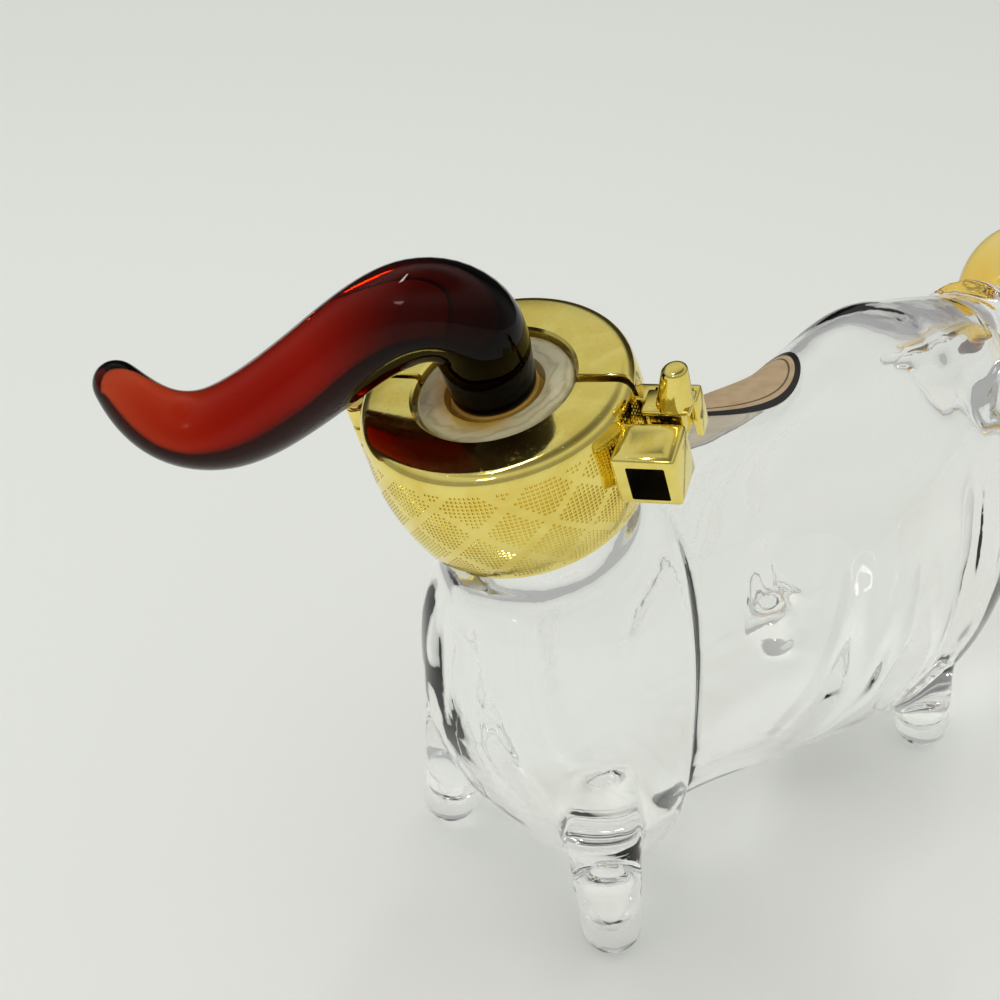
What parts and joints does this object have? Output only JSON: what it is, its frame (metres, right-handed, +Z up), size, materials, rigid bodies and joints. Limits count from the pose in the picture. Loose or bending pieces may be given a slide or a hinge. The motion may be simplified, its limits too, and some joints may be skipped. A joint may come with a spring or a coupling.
{
  "type": "figural liquor decanter",
  "caption": "Clear blown glass bull decanter on stubby legs, its neck on the rump closed by an amber tail stopper inside a hinged gold clamp collar with a latch.",
  "frame": {"origin": "middle of the overall box, at the height of the feet", "axes": "+X from the tail towards the head, +Y to the animal's left, +Z up"},
  "size_m": [0.2678, 0.09, 0.1564],
  "materials": {
    "clear_glass": "clear hand-blown glass",
    "horn_amber": "clear yellow amber glass",
    "dark_amber": "dark red amber glass",
    "seal_silicone": "pale silicone",
    "liner_rubber": "pale soft rubber",
    "gold_plate": "polished gold plate",
    "pin_brass": "drawn brass",
    "label_print": "matt printed film"
  },
  "bodies": {
    "bottle": {"body_shell": "clear_glass", "neck_finish": "clear_glass", "front_left_leg": "clear_glass", "rear_left_leg": "clear_glass", "front_right_leg": "clear_glass", "rear_right_leg": "clear_glass", "head": "clear_glass", "left_horn": "horn_amber", "left_ear": "clear_glass", "left_eye": "dark_amber", "right_horn": "horn_amber", "right_ear": "clear_glass", "right_eye": "dark_amber", "back_label": "label_print", "collar_rear_half": "gold_plate", "rear_liner": "liner_rubber", "hinge_pin": "pin_brass"},
    "gate": {"collar_front_half": "gold_plate", "front_liner": "liner_rubber", "latch_pivot_pin": "pin_brass"},
    "latch": {"latch_lever": "gold_plate"},
    "seal": {"stopper_sleeve": "seal_silicone"},
    "tail": {"tail_stopper": "dark_amber"}
  },
  "joints": [
    {"name": "collar_swing", "type": "hinge", "parent": "bottle", "child": "gate", "pos_m": [-0.09044, 0.01848, 0.12037], "axis": [-0.3206, 0, 0.9472], "range_deg": [0, 100]},
    {"name": "latch_turn", "type": "hinge", "parent": "gate", "child": "latch", "pos_m": [-0.05451, -0.03298, 0.12672], "axis": [-0.4736, 0.866, -0.1603], "range_deg": [0, 7]},
    {"name": "stopper_lift", "type": "slide", "parent": "bottle", "child": "seal", "axis": [-0.3206, 0, 0.9472], "range_m": [0, 0.04]},
    {"name": "tail_twist", "type": "hinge", "parent": "seal", "child": "tail", "pos_m": [-0.07593, -0.00539, 0.1295], "axis": [-0.3206, 0, 0.9472], "range_deg": [-110, 110]}
  ]
}
